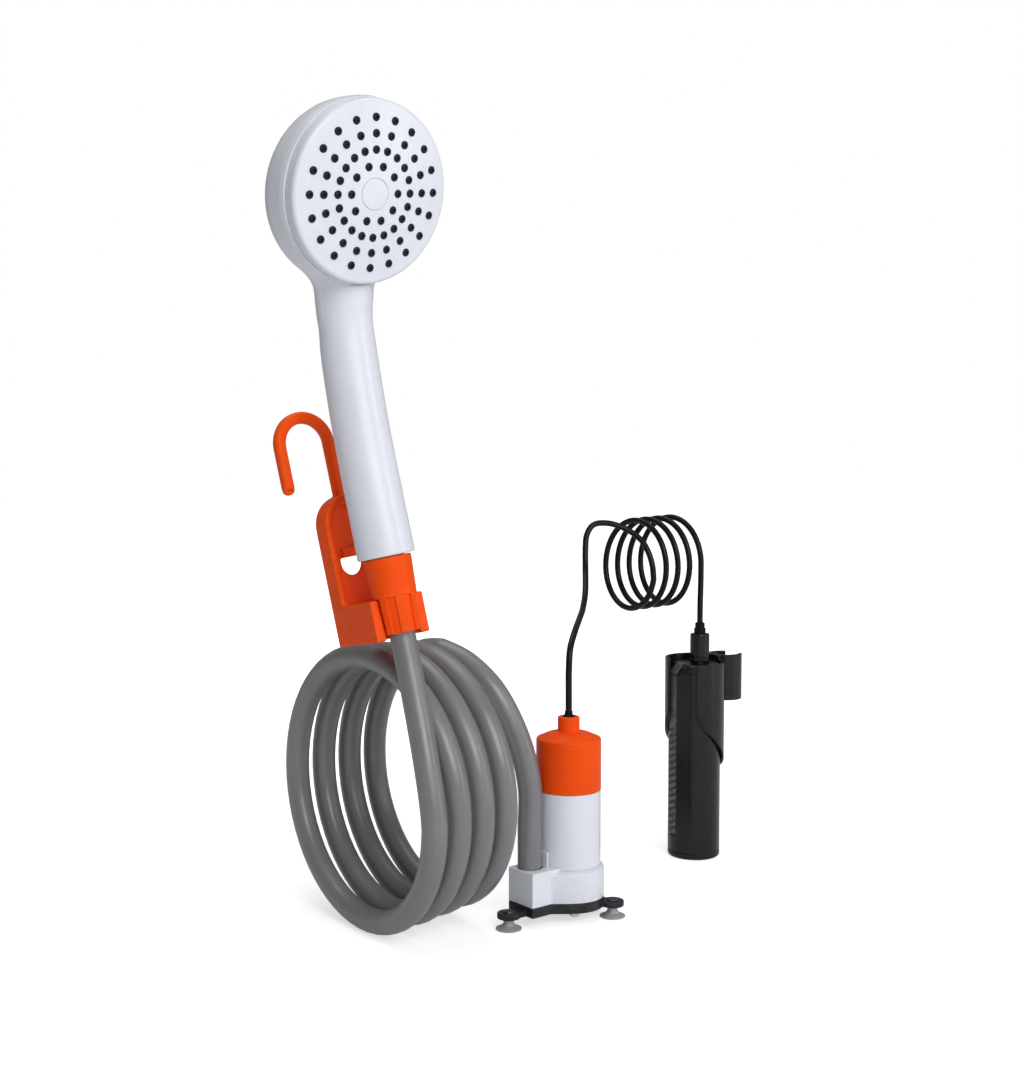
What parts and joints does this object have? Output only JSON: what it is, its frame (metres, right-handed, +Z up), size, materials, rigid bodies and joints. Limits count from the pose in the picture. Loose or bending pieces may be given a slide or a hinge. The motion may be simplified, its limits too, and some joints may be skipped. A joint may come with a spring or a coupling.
{
  "type": "camp shower pump kit",
  "caption": "Battery camp shower: submersible pump on suction cups, coiled hose, handset in a hanging bracket, battery tube with pole clip and coiled cable.",
  "frame": {"origin": "middle of the kit's footprint on the floor, without the cords", "axes": "+Z up, +X from the handset towards the battery, -Y towards the front of the pump"},
  "size_m": [0.3522, 0.1511, 0.421],
  "materials": {
    "orange_plastic": "satin moulded",
    "white_plastic": "glossy moulded",
    "black_plastic": "satin moulded",
    "black_rubber": "satin",
    "hose_grey": "satin",
    "cloudy_rubber": "cloudy",
    "nozzle_rubber": "matt",
    "steel": "brushed",
    "copper": "bare",
    "brass": "bare",
    "magnet": "matt",
    "cell_wrap": "shrink wrap",
    "board_green": "lacquered"
  },
  "bodies": {
    "pump_kit": {"suction_cups": "cloudy_rubber", "base_plate": "black_plastic", "strainer": "black_plastic", "base_screws": "steel", "volute_base": "white_plastic", "shaft_seal": "nozzle_rubber", "motor_can": "steel", "motor_magnets": "magnet", "motor_bushes": "brass", "brush_gear": "black_plastic", "motor_rings": "nozzle_rubber", "motor_leads": "copper", "housing_seal": "nozzle_rubber", "motor_housing": "white_plastic", "pump_cap": "orange_plastic", "cable_grommet": "black_rubber", "bracket": "orange_plastic", "hose_feed": "hose_grey", "hose_coil": "hose_grey", "battery_case": "black_plastic", "battery_end_cap": "black_plastic", "battery_top_cap": "black_plastic", "grip_strip": "black_rubber", "cell": "cell_wrap", "cell_contacts": "steel", "control_board": "board_green", "button_switch": "steel", "battery_socket": "steel", "cable_coil": "black_rubber", "cable_drop": "black_rubber"},
    "handset": {"handset_shell": "white_plastic", "face_plate": "white_plastic", "nozzle_mat": "nozzle_rubber", "face_seal": "nozzle_rubber", "face_screw": "steel", "face_cap": "white_plastic", "handle_spigot": "white_plastic", "hose_washer": "nozzle_rubber", "hose_ferrule": "white_plastic"},
    "union_nut": {"hose_nut": "orange_plastic"},
    "rotor": {"motor_shaft": "steel", "armature": "copper", "commutator": "copper", "impeller": "white_plastic"},
    "plug": {"plug_barrel": "steel", "plug_body": "black_rubber", "plug_relief": "black_rubber"},
    "button": {"power_button": "black_rubber"},
    "pole_holder": {"holder": "black_plastic"}
  },
  "joints": [
    {"name": "rotor_spin", "type": "hinge", "parent": "pump_kit", "child": "rotor", "pos_m": [0.0015, -0.01575, 0.04], "axis": [0, 0, 1], "continuous": true},
    {"name": "handset_lift", "type": "slide", "parent": "pump_kit", "child": "handset", "axis": [-0.1201, 0.1685, 0.9784], "range_m": [0, 0.06], "deforming": ["hose_feed"]},
    {"name": "nut_turn", "type": "hinge", "parent": "handset", "child": "union_nut", "pos_m": [-0.1069, -0.01355, 0.1639], "axis": [-0.1201, 0.1685, 0.9784], "continuous": true},
    {"name": "plug_pull", "type": "slide", "parent": "pump_kit", "child": "plug", "axis": [0, 0, 1], "range_m": [0, 0.016], "deforming": ["cable_drop"]},
    {"name": "button_press", "type": "slide", "parent": "pump_kit", "child": "button", "axis": [0, 0, -1], "range_m": [0, 0.0012], "stiffness_N_per_m": 900, "springref_m": -0.0008},
    {"name": "holder_slide", "type": "slide", "parent": "pump_kit", "child": "pole_holder", "axis": [0, 0, -1], "range_m": [0, 0.038]}
  ]
}
